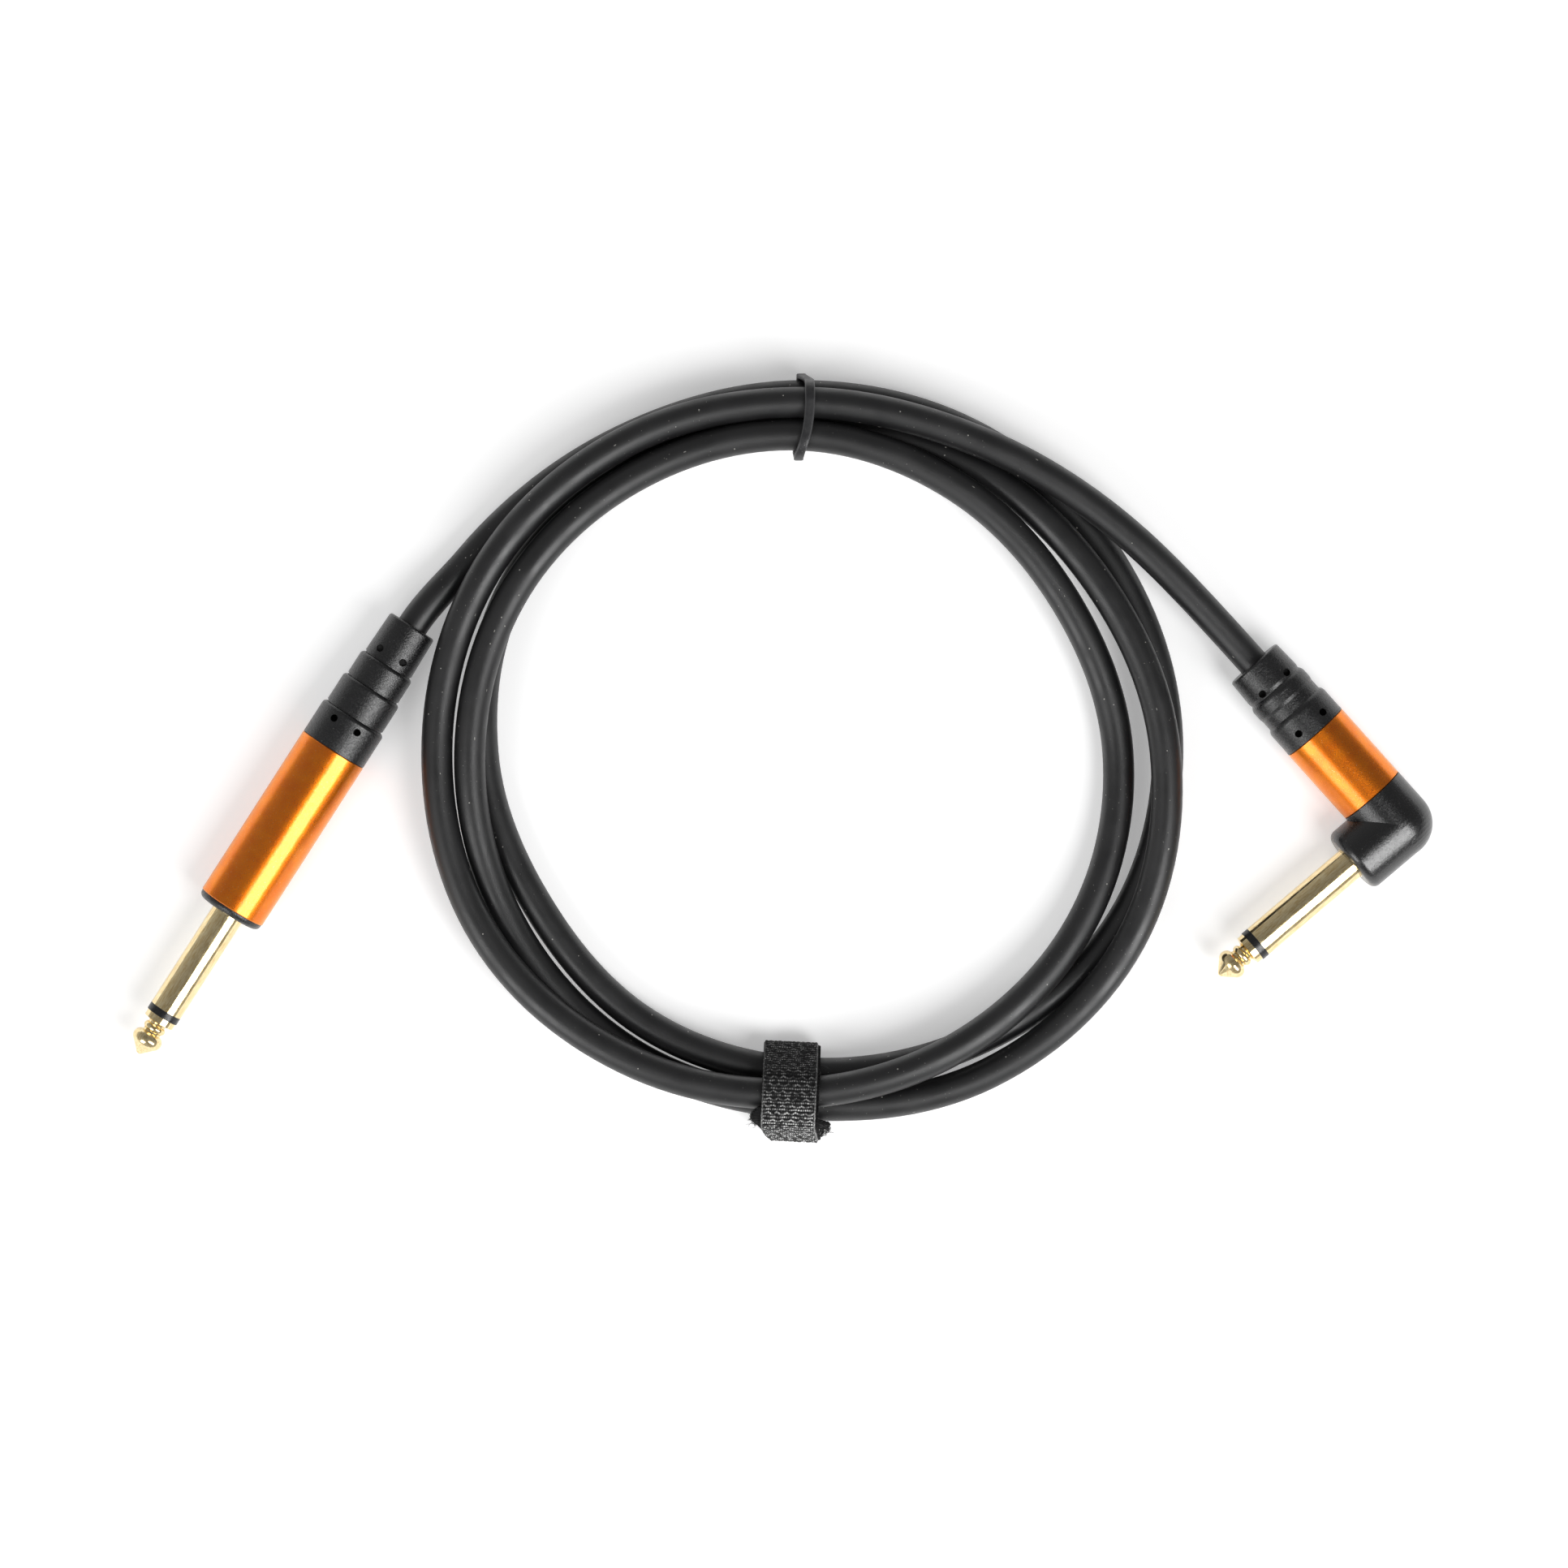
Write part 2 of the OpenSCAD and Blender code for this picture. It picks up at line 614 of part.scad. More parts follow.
// Moulded elbow: a leg that ends in a ball, a leg with a rounded face and a spigot in the barrel
module angled_elbow() {
    outer_r = barrel_d / 2;
    leg_r = elbow_leg_d / 2;
    color("#262628") difference() {
        union() {
            at_angled() translate([0, 0, angled_cross]) rotate_extrude()
                polygon(concat([[0, -elbow_reach], [outer_r, -elbow_reach]], arc([0, 0], outer_r, 0, 90)));
            at_angled() translate([0, 0, angled_cross - elbow_reach - elbow_spigot])
                cylinder(d = bore_d - 2 * fit, h = elbow_spigot + elbow_reach);
            at_angled_shank() rotate_extrude()
                polygon(concat([[0, -elbow_face], [leg_r, -elbow_face]],
                               arc([leg_r - elbow_face_r, -elbow_face_r], elbow_face_r, 0, 90),
                               [[0, 0]]));
        }
        at_angled_shank() sleeve_seat(elbow_face + chamber_d / 2 - overcut);
        at_angled() translate([0, 0, angled_cross - elbow_reach - elbow_spigot - overcut])
            cylinder(d = elbow_chamber_d, h = elbow_reach + elbow_spigot + overcut);
    }
}

module angled_inner_moulding() {
    at_angled() inner_moulding(angled_boot_l + boot_spigot, angled_cross - elbow_reach - elbow_spigot,
                               angled_jacket_end);
}

module angled_barrel() { at_angled() barrel(angled_boot_l, angled_barrel_l); }

module angled_boot() {
    grooves = [for (width = [angled_groove_1_w, angled_groove_2_w])
                  [width, angled_groove_depth, angled_shoulder_r, angled_edge_run]];
    outline = boot_outline(angled_segments, angled_boot_d, angled_boot_front_d, grooves);
    color("#262628") at_angled()
        boot(angled_segments, outline, angled_pins_rear, angled_pins_front, angled_pin_spacing)
            tube(barrel_d, jacket_bore_d, angled_boot_l - angled_lip_t, angled_boot_l);
}

// ---------- tie and band ----------

// Outline around a bundle of strands, in the plane through the coil's axis
module bundle_outline(bundle, grow) {
    hull() for (strand = bundle) translate(strand) circle(d = cable_d + 2 * grow, $fn = wrap_fn);
}

// Band around a bundle, with its slack and its overlapping layers on the outer side
module wrap(bundle, drift, slack, thickness, layers, width, angle) {
    mean_r = (bundle[0].x + bundle[1].x) / 2;
    sweep = width / mean_r * 180 / PI;
    outward = drift + slack;
    inside = [for (strand = bundle) each [strand - [drift, 0], strand + [outward, 0]]];
    outside = concat(inside, [for (i = [1 : len(bundle) - 1])
                                 bundle[i] + [outward + thickness * (layers - 1), 0]]);
    translate(at_height(coil_centre, 0)) rotate([0, 0, angle - sweep / 2]) rotate_extrude(angle = sweep)
        difference() {
            bundle_outline(outside, wrap_gap + thickness);
            bundle_outline(inside, wrap_gap);
        }
}

module hook_loop_tie() {
    color("#3a3a3c") wrap(tie_bundle, tie_drift, tie_slack, tie_t, tie_layers, tie_w, tie_angle);
}

module rubber_band() {
    color("#333335") wrap(band_bundle, band_drift, 0, band_t, 1, band_w, band_angle);
}

cable();
straight_tip();
straight_tip_ring();
straight_sleeve();
straight_inner_tube();
straight_rod();
straight_tip_lug();
straight_ground_clamp();
straight_conductor();
straight_core_wire();
straight_shield_tail();
straight_front_moulding();
straight_inner_moulding();
straight_barrel();
straight_boot();
angled_tip();
angled_tip_ring();
angled_sleeve();
angled_inner_tube();
angled_rod();
angled_tip_lug();
angled_ground_clamp();
angled_conductor();
angled_core_wire();
angled_shield_tail();
angled_elbow();
angled_inner_moulding();
angled_barrel();
angled_boot();
hook_loop_tie();
rubber_band();
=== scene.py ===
# Looks of the coiled instrument cable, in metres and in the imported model's frame.
import bpy
import math
import numpy as np
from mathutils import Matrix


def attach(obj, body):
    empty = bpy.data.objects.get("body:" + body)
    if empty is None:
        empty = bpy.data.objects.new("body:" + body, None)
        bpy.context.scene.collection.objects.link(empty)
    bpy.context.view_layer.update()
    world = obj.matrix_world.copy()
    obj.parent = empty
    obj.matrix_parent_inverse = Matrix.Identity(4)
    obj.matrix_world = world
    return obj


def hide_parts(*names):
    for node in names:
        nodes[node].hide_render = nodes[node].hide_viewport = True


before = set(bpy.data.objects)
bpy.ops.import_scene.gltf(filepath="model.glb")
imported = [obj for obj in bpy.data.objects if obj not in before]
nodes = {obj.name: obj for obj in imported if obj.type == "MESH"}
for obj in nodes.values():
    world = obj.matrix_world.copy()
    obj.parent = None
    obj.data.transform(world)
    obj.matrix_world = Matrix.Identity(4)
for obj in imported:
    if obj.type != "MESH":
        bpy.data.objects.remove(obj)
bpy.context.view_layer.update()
MM = 0.001

# ---------- values repeated from the part's source, in millimetres and degrees ----------

CABLE_D = 5.9
BARREL_D = 13.3
AXIS_Z = BARREL_D / 2
JACKET_INSET = 10.8
ELBOW_TURN = 91.5
STRAIGHT = {"exit": (-69.8, 24.8), "heading": -122.7, "boot": 27.5}
ANGLED = {"exit": (88.6, 17.8), "heading": -48.1, "boot": 17.3}
COIL_CENTRE, COIL_TURNS = (3.75, 1.1), 3
STATION_START, STATION_STEP = 150, 30
STATIONS = [
    (72.6, 5), (68, 4.3), (67.3, 4.3), (68, 3.4), (68.5, 3.2), (69, 3.2), (68, 3.2), (63.5, 3.3),
    (60.5, 4.7), (59.2, 4), (57.9, 3.3), (60.5, 3.2),
    (63, 3.3), (61.7, 3.8), (61.1, 4.3), (62.5, 5.8), (64, 8.6), (68, 9.6), (71, 8.5), (70, 5.2),
    (66.5, 4.7), (65.5, 3.6), (63.9, 5.4), (62.6, 9.1),
    (62, 9.6), (60.5, 9.8), (59.4, 10.3), (57.5, 10), (57, 7), (59.5, 4), (61.5, 6), (62.5, 9.6),
    (64, 10.3), (66.5, 10), (69, 8.8), (68.8, 8.8),
    (68.5, 10), (67, 10.3), (65.5, 10.3), (67, 10), (75, 8.5),
]
TIE_ANGLE, TIE_BUNDLE = -92.6, [(60.1, 4.5), (66.1, 4.5), (63.8, 10.3)]
TIE_DRIFT, TIE_SLACK, TIE_T = 1.0, 0.85, 1.2
BAND_ANGLE, BAND_BUNDLE = 89.8, [(61, 4.3), (67, 4.3), (65.2, 10.3), (59.1, 10.3)]
BAND_DRIFT, BAND_W, BAND_T = 0.4, 1.85, 0.8
WRAP_GAP = 0.35

# ---------- values of this scene: the camera and the stage ----------

CAMERA_AT, CAMERA_HEIGHT = (0.173, -4.94), 0.9   # place in millimetres, height in metres
FOCAL_LENGTH, SENSOR_WIDTH = 108.9, 36
FLOOR_HALF, FLOOR_GLOW = 9, 0.32                 # in metres; the glow lights nothing else
SKY_SLOPE, SKY_LEVEL = (-0.09, -0.09, -0.2), 0.43

# ---------- values of this scene: the object's pieces, in millimetres ----------

HIDDEN_RUN = 20                      # how far the cord runs on inside each boot
JACKET_SIDES, ROUTE_STEPS, BOOT_STEPS, END_STEPS = 32, 14, 8, 6
JACKET_GIRTH = CABLE_D * MM * math.pi    # in metres
# Painted shade reaches this far into the mould-pin holes and grooves
PAINTED_SHADE_REACH = 0.0016                  # how far the mould-pin holes are darkened, in metres
TIE_HALF_W = 5.45
TIE_STEP, TIE_COLUMNS = 0.12, 93
KNIT_W, KNIT_L = 1.74, 1.31          # width of a stitch and length of a course
ARC_LOW, ARC_RISE, DASH_AT = 0.2, 0.26, 0.82     # places within a course, as shares of it
HEAD_RUN = [0, 1, 2.5, 3.6, 4.4, 8, 11, 13, 15]  # places along the strap, from the head's end
HEAD_LEFT = [0.1, 1.1, 1.4, 1.1, 0.6, -0.6, -1.2, -1.2, -0.6]    # how far each edge stands out there
HEAD_RIGHT = [-0.6, 0, 0.4, 1.9, 2.9, 2.3, 1.2, 0.4, 0]
BAND_STEP, BAND_SIDES, BAND_SQUARENESS = 0.25, 20, 0.5
BAND_TOP_R = [53, 56, 58.5, 63, 66, 69.5, 70.8, 72]              # distances from the coil's centre
BAND_TOP_SWAY = [1.4, 0.9, -0.3, -1.0, -1.1, -1.0, -0.5, 0.4]    # sideways places there, on top
BAND_UNDER_R, BAND_UNDER_SWAY = [53, 72], [1.4, 0.5]             # the same for the underside
BAND_TOP_Z = 7.3

# ---------- camera ----------

camera = bpy.data.objects.new("camera", bpy.data.cameras.new("camera"))
camera.location = (CAMERA_AT[0] * MM, CAMERA_AT[1] * MM, CAMERA_HEIGHT)
camera.data.sensor_width = SENSOR_WIDTH
camera.data.lens = FOCAL_LENGTH
bpy.context.scene.collection.objects.link(camera)
bpy.context.scene.camera = camera

# ---------- meshes ----------


def make_piece(name, points, faces, body, uv):
    """A smooth mesh piece that rides on a CAD body, with a UV pair for each point."""
    mesh = bpy.data.meshes.new(name)
    mesh.from_pydata([tuple(p) for p in points], [], faces)
    mesh.polygons.foreach_set("use_smooth", [True] * len(mesh.polygons))
    layer = mesh.uv_layers.new(name="UVMap")
    corner = np.zeros(len(mesh.loops), np.int32)
    mesh.loops.foreach_get("vertex_index", corner)
    layer.data.foreach_set("uv", np.asarray(uv, np.float32)[corner].ravel())
    mesh.update()
    piece = bpy.data.objects.new(name, mesh)
    bpy.context.scene.collection.objects.link(piece)
    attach(piece, body)
    return piece


def grid_faces(rows, columns, closed, first=0):
    """Quads of a grid of points, row after row, that may close on itself across its columns."""
    faces = []
    for i in range(rows - 1):
        for k in range(columns if closed else columns - 1):
            a, b = first + i * columns + k, first + i * columns + (k + 1) % columns
            faces.append((a, b, b + columns, a + columns))
    return faces


def unit(v):
    return v / np.linalg.norm(v, axis=-1, keepdims=True)


def run_along(line):
    """Distance of each point of a line from its start, measured along it."""
    return np.concatenate([[0], np.cumsum(np.linalg.norm(np.diff(line, axis=0), axis=1))])


def tube(points, radius, sides):
    """Points, faces and UVs of a round tube with closed ends along a line of points."""
    points = np.asarray(points, float)
    along = unit(np.gradient(points, axis=0))
    side = unit(np.cross(along, (0.0, 0.0, 1.0)))
    up = np.cross(side, along)
    turn = np.linspace(-0.5 * np.pi, 1.5 * np.pi, sides, endpoint=False)
    radii = np.broadcast_to(radius, len(points))[:, None, None]
    rings = points[:, None] + radii * (
        side[:, None] * np.cos(turn)[None, :, None] + up[:, None] * np.sin(turn)[None, :, None])
    run = run_along(points)
    uv = np.stack(np.broadcast_arrays(turn[None] / (2 * np.pi), run[:, None]), axis=-1)
    faces = grid_faces(len(points), sides, True)
    last = (len(points) - 1) * sides
    faces += [tuple(range(sides))[::-1], tuple(range(last, last + sides))]
    return rings.reshape(-1, 3), faces, uv.reshape(-1, 2)


# ---------- cable ----------


def heading(angle):
    return np.array((math.cos(math.radians(angle)), math.sin(math.radians(angle))))


def polar(point, turns, z):
    """Station of a point: its angle with whole turns added, its distance and its height."""
    d = np.subtract(point, COIL_CENTRE)
    return np.array((math.degrees(math.atan2(d[1], d[0])) + turns, np.hypot(*d), z))


def exit_rate(station, angle):
    """Change of distance and height per degree for a cable that leaves a station at an angle."""
    d, a = heading(angle), math.radians(station[0])
    out = d[0] * math.cos(a) + d[1] * math.sin(a)
    around = d[1] * math.cos(a) - d[0] * math.sin(a)
    return np.array((station[1] * out / around * math.pi / 180, 0))


def cable_route(steps):
    """The cable's line between the boots: cubics through the polar stations, in millimetres."""
    route = [polar(STRAIGHT["exit"], 0, AXIS_Z)]
    route += [np.array((STATION_START - STATION_STEP * i, r, z))
              for i, (r, z) in enumerate(STATIONS)]
    route += [polar(ANGLED["exit"], -360 * COIL_TURNS, AXIS_Z)]
    last = len(route) - 1
    rates = [exit_rate(route[0], STRAIGHT["heading"] + 180)]
    rates += [(route[i + 1][1:] - route[i - 1][1:]) / (route[i + 1][0] - route[i - 1][0])
              for i in range(1, last)]
    rates += [exit_rate(route[last], ANGLED["heading"])]
    points = []
    for i in range(last):
        span = route[i + 1][0] - route[i][0]
        for t in np.arange(steps) / steps:
            r, z = (route[i][1:] * (1 + 2 * t) * (1 - t) ** 2 + rates[i] * span * t * (1 - t) ** 2
                    + route[i + 1][1:] * t * t * (3 - 2 * t) - rates[i + 1] * span * t * t * (1 - t))
            x, y = np.array(COIL_CENTRE) + r * heading(route[i][0] + span * t)
            points.append((x, y, z))
    points.append((*ANGLED["exit"], AXIS_Z))
    return np.array(points)


def inside_boot(plug, start, end, count):
    """Points on the plug's axis, at distances from the cable's exit towards the plug's front."""
    return [(*(np.array(plug["exit"]) + s * heading(plug["heading"])), AXIS_Z)
            for s in np.linspace(start, end, count)]


route = np.array(inside_boot(STRAIGHT, HIDDEN_RUN, 1, BOOT_STEPS) + list(cable_route(ROUTE_STEPS))
                 + inside_boot(ANGLED, 1, HIDDEN_RUN, BOOT_STEPS)) * MM
points, faces, uv = tube(route, CABLE_D / 2 * MM, JACKET_SIDES)
cable = make_piece("cable_jacket", points, faces, "cable_and_plugs", uv)
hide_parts("cable")
jacket_ends = []
for name, plug in (("straight_jacket_end", STRAIGHT), ("angled_jacket_end", ANGLED)):
    line = np.array(inside_boot(plug, HIDDEN_RUN, plug["boot"] + JACKET_INSET, END_STEPS)) * MM
    points, faces, uv = tube(line, CABLE_D / 2 * MM, JACKET_SIDES)
    jacket_ends.append(make_piece(name, points, faces, "cable_and_plugs", uv))

# ---------- materials ----------


def add(tree, kind, inputs=(), **settings):
    """A shader node, with its inputs linked to sockets or set to constants."""
    made = tree.nodes.new("ShaderNode" + kind)
    for key, value in settings.items():
        setattr(made, key, value)
    for key, value in dict(inputs).items():
        if isinstance(value, bpy.types.NodeSocket):
            tree.links.new(value, made.inputs[key])
        else:
            made.inputs[key].default_value = value
    return made


def rgb(r, g, b):
    """Linear colour of 0-255 display values."""
    return tuple(c / 255 / 12.92 if c / 255 <= 0.04045 else ((c / 255 + 0.055) / 1.055) ** 2.4
                 for c in (r, g, b))


def rgba(r, g, b):
    return (*rgb(r, g, b), 1)


class Look:
    """A node material: a Principled shader, and short calls for the textures that feed it.
    Sizes and depths are in millimetres."""

    def __init__(self, name, colour, roughness, metallic=0.0, **constants):
        self.material = bpy.data.materials.new(name)
        self.material.use_nodes = True
        self.tree = self.material.node_tree
        self.shader = self.tree.nodes["Principled BSDF"]
        self.set("Base Color", (*colour, 1))
        self.set("Roughness", roughness)
        self.set("Metallic", metallic)
        for key, value in constants.items():
            self.set(key.replace("_", " "), value)
        self.space = add(self.tree, "TexCoord").outputs["Object"]
        self.normal = None

    def set(self, key, value):
        if isinstance(value, bpy.types.NodeSocket):
            self.tree.links.new(value, self.shader.inputs[key])
        else:
            self.shader.inputs[key].default_value = value

    def uv(self, scale):
        place = add(self.tree, "TexCoord").outputs["UV"]
        return add(self.tree, "Mapping", {"Vector": place, "Scale": scale}).outputs["Vector"]

    def local(self, origin, angle, scale=(1, 1, 1)):
        """Coordinates with X along a plug's axis, in metres, from the plug's origin."""
        place = add(self.tree, "Mapping", {
            "Vector": self.space, "Location": origin, "Rotation": (0, 0, math.radians(angle)),
        }, vector_type="TEXTURE").outputs["Vector"]
        return add(self.tree, "Mapping", {"Vector": place, "Scale": scale}).outputs["Vector"]

    def noise(self, size, detail=3, where=None, roughness=0.5):
        return add(self.tree, "TexNoise", {
            "Vector": where or self.space, "Scale": 1 / (size * MM), "Detail": detail,
            "Roughness": roughness}).outputs["Fac"]

    def specks(self, size, radius, share, where=None):
        """1 on small round specks: one in each cell of that size, for that share of the cells."""
        cells = add(self.tree, "TexVoronoi",
                    {"Vector": where or self.space, "Scale": 1 / (size * MM)})
        near = self.math("LESS_THAN", cells.outputs["Distance"], radius / size)
        pick = add(self.tree, "SeparateColor", {0: cells.outputs["Color"]}).outputs[0]
        return self.times(near, self.math("LESS_THAN", pick, share))

    def map(self, value, a, b, c, d):
        return add(self.tree, "MapRange", {
            "Value": value, "From Min": a, "From Max": b, "To Min": c, "To Max": d}).outputs["Result"]

    def math(self, operation, a, b=0.0):
        return add(self.tree, "Math", {0: a, 1: b}, operation=operation).outputs[0]

    def times(self, a, b):
        return self.math("MULTIPLY", a, b)

    def larger(self, a, b):
        return self.math("MAXIMUM", a, b)

    def distance(self, a, b):
        return self.math("ABSOLUTE", self.math("SUBTRACT", a, b))

    def mix(self, factor, a, b):
        """The display colour b, laid over the socket or display colour a by a factor."""
        a = rgba(*a) if isinstance(a, tuple) else a
        return add(self.tree, "Mix", {0: factor, 6: a, 7: rgba(*b)}, data_type="RGBA").outputs[2]

    def patches(self, noise, a, b):
        """Two display colours in soft patches."""
        return self.mix(self.map(noise, 0.35, 0.7, 0, 1), a, b)

    def gloss(self, noise, smoothest, roughest):
        """Roughness between two values, in soft patches."""
        self.set("Roughness", self.map(noise, 0.3, 0.7, smoothest, roughest))

    def bump(self, height, depth):
        inputs = {"Height": height, "Distance": depth * MM, "Strength": 1.0}
        if self.normal:
            inputs["Normal"] = self.normal
        self.normal = add(self.tree, "Bump", inputs).outputs["Normal"]
        self.set("Normal", self.normal)


def dress(material, *pieces):
    for piece in pieces:
        target = nodes[piece] if isinstance(piece, str) else piece
        target.data.materials.clear()
        target.data.materials.append(material)


def both(*parts):
    """Names of the same pieces on the two plugs."""
    return [plug + "_" + part for part in parts for plug in ("straight", "angled")]


# Matte flexible jacket: lengthwise drawing marks, a fine matte grain, handling marks, dust and lint
look = Look("jacket_pvc", rgb(20, 20, 21), 0.4, Specular_IOR_Level=0.62)
drawn = look.noise(0.9, 2, look.uv((0.25 * JACKET_GIRTH, 0.03, 1)))
grain = look.noise(0.25, 2)
patches = look.noise(14, 4)
handled = look.map(look.noise(22, 2), 0.45, 0.6, 0, 1)
dust = look.larger(look.specks(2.3, 0.13, 0.6),
                   look.times(look.specks(1.0, 0.085, 0.8), look.times(handled, 0.45)))
lint = look.specks(1.8, 0.085, 0.7, look.uv((JACKET_GIRTH, 0.3, 1)))
dust = look.larger(dust, look.times(lint, 0.75))
tone = look.patches(patches, (16, 16, 17), (25, 25, 26))
look.set("Base Color", look.mix(dust, tone, (150, 148, 143)))
look.gloss(look.noise(5, 4), 0.36, 0.5)
look.bump(drawn, 0.02)
look.bump(grain, 0.02)
dress(look.material, cable, *jacket_ends)

# Satin moulded plastic with a spark-eroded grain; the elbow's mould is worn smoother. Its holes and
# grooves get painted shade.
for key, level, smoothest, roughest, relief, shade, dressed in (
        ("moulded_black", 0.62, 0.19, 0.35, 1.0, 15, (*both("boot"), "straight_front_moulding")),
        ("elbow_black", 0.8, 0.17, 0.29, 0.55, 6, ("angled_elbow",))):
    look = Look(key, rgb(18, 18, 19), 0.26, Specular_IOR_Level=level)
    grain = look.noise(0.42, 3, roughness=0.65)
    eroded = look.noise(0.17, 2)
    # Painted shade: in the mould-pin holes and grooves the colour goes near-black and the surface
    # rougher, where little light reaches
    hidden = add(look.tree, "AmbientOcclusion", {"Distance": PAINTED_SHADE_REACH}, samples=8).outputs["AO"]
    painted_shade = look.map(hidden, 0.25, 0.6, 1, 0)
    tone = look.patches(look.noise(4, 3), (shade, shade, shade + 1), (shade + 7, shade + 7, shade + 8))
    tone = look.mix(look.specks(0.9, 0.07, 0.6), tone, (100, 99, 96))
    look.set("Base Color", look.mix(painted_shade, tone, (2, 2, 2)))
    look.set("Roughness", look.larger(look.map(grain, 0.35, 0.65, smoothest, roughest),
                                      look.times(painted_shade, 0.85)))
    look.bump(grain, 0.055 * relief)
    look.bump(eroded, 0.045 * relief)
    dress(look.material, *dressed)

# Bead-blasted, orange anodised aluminium under a clear oxide layer; its pale specks are painted glints
# of the blasted surface
look = Look("anodised_orange", rgb(236, 122, 3), 0.38, 1.0, Coat_Weight=0.75, Coat_Roughness=0.18,
            Coat_IOR=1.5, Specular_Tint=(1.0, 0.82, 0.4, 1))
blasted = look.noise(0.14, 2)
# Painted glints: pale specks that stand in for the sparkle of the blasted surface
painted_glints = look.larger(look.specks(0.9, 0.075, 0.5), look.specks(0.5, 0.06, 0.6))
tone = look.patches(look.noise(3, 4), (231, 115, 2), (240, 130, 5))
look.set("Base Color", look.mix(look.map(painted_glints, 0, 1, 0, 0.55), tone, (255, 205, 140)))
look.gloss(blasted, 0.25, 0.36)
look.bump(blasted, 0.016)
look.bump(look.noise(0.3, 1), 0.008)
dress(look.material, *both("barrel"))

# Polished gold plating with turning marks, handling scratches and thin spots
for key, plug, shank in (("straight", STRAIGHT, STRAIGHT["heading"]),
                         ("angled", ANGLED, ANGLED["heading"] - ELBOW_TURN)):
    look = Look(key + "_gold", rgb(242, 222, 178), 0.13, 1.0)
    origin = (*(np.array(plug["exit"]) * MM), AXIS_Z * MM)
    along = look.local(origin, shank, (1, 6, 6))
    scratched = look.noise(0.5, 3, look.local(origin, shank, (0.12, 1, 1)))
    tone_shift = look.noise(1.6, 5, along, 0.65)
    streaks = look.noise(0.3, 3, look.local(origin, shank, (0.04, 1, 1)))
    tone = look.mix(look.map(tone_shift, 0.42, 0.68, 0, 1), (247, 229, 184), (220, 190, 130))
    tone = look.mix(look.map(streaks, 0.5, 0.75, 0, 0.22), tone, (190, 148, 96))
    tone = look.mix(look.map(look.noise(0.45, 4), 0.6, 0.7, 0, 0.2), tone, (182, 154, 104))
    look.set("Base Color", tone)
    look.set("Roughness", look.map(look.noise(2.2, 5), 0.35, 0.7, 0.08, 0.22))
    look.bump(scratched, 0.006)
    dress(look.material, key + "_tip", key + "_sleeve")


def plain(name, colour, roughness, gloss, grain, pieces, metallic=0.0, **constants):
    """A surface of one colour. Gloss is (smoothest, roughest, size and detail of its patches),
    grain is (depth, size and detail)."""
    look = Look(name, rgb(*colour), roughness, metallic, **constants)
    look.gloss(look.noise(*gloss[2:]), *gloss[:2])
    look.bump(look.noise(*grain[1:]), grain[0])
    dress(look.material, *pieces)


plain("ring_black", (18, 18, 19), 0.25, (0.2, 0.4, 0.6), (0.01, 0.3), both("tip_ring"))

# Pieces inside the mouldings
plain("tube_natural", (222, 217, 203), 0.45, (0.38, 0.55, 0.8), (0.01, 0.4), both("inner_tube"),
      Subsurface_Weight=0.15, Subsurface_Scale=0.001)
plain("rod_turned", (176, 176, 178), 0.32, (0.25, 0.42, 0.2), (0.008, 0.12), both("rod"), metallic=1.0)
plain("tinned_sheet", (205, 205, 200), 0.35, (0.25, 0.5, 1.2, 5), (0.02, 0.5, 4),
      both("tip_lug", "ground_clamp"), metallic=1.0)
plain("core_white", (228, 228, 226), 0.4, (0.32, 0.5, 0.9), (0.015, 0.5), both("core_wire"))

for key, plug in (("straight", STRAIGHT), ("angled", ANGLED)):
    look = Look(key + "_copper", rgb(196, 122, 78), 0.3, 1.0)
    strands = add(look.tree, "TexWave", {
        "Vector": look.local((0, 0, AXIS_Z * MM), plug["heading"] + 35), "Scale": 900.0,
        "Distortion": 0.6})
    look.set("Base Color", look.mix(strands.outputs["Fac"], (150, 84, 48), (214, 142, 94)))
    look.bump(strands.outputs["Fac"], 0.08)
    dress(look.material, key + "_conductor", key + "_shield_tail")

look = Look("filling_grey", rgb(72, 72, 74), 0.5)
look.set("Base Color", look.patches(look.noise(3, 4), (62, 62, 64), (84, 84, 86)))
look.bump(look.noise(0.8, 4), 0.04)
dress(look.material, *both("inner_moulding"))

# ---------- tie and band ----------


def wrap_line(bundle, drift, slack, radius, normals, shift):
    """Line around a bundle of strands: for each normal's angle, the outermost point of the bundle
    grown by the radius. The shift moves the outer side outwards, where one layer lies on another."""
    inner = np.array(bundle) - (drift, 0)
    line = []
    for angle, step in zip(normals, shift):
        n = heading(angle)
        outer = np.array(bundle) + (drift + slack + step, 0)
        every = np.concatenate([inner, outer])
        line.append(every[np.argmax(every @ n)] + radius * n)
    return np.array(line)


def resample(line, step):
    """The line in even steps, and the distance of each of its points from the start."""
    run = run_along(line)
    even = np.linspace(0, run[-1], int(round(run[-1] / step)) + 1)
    return np.stack([np.interp(even, run, line[:, i]) for i in range(line.shape[1])], axis=1), even


def on_coil(r, z, across, angle):
    """Points, in millimetres, from a distance, a height and a sideways place at an angle of the coil."""
    out, side = heading(angle), heading(angle + 90)
    return np.stack([COIL_CENTRE[0] + r * out[0] + across * side[0],
                     COIL_CENTRE[1] + r * out[1] + across * side[1], z + 0 * across], axis=-1)


def smooth(t):
    t = np.clip(t, 0, 1)
    return t * t * (3 - 2 * t)


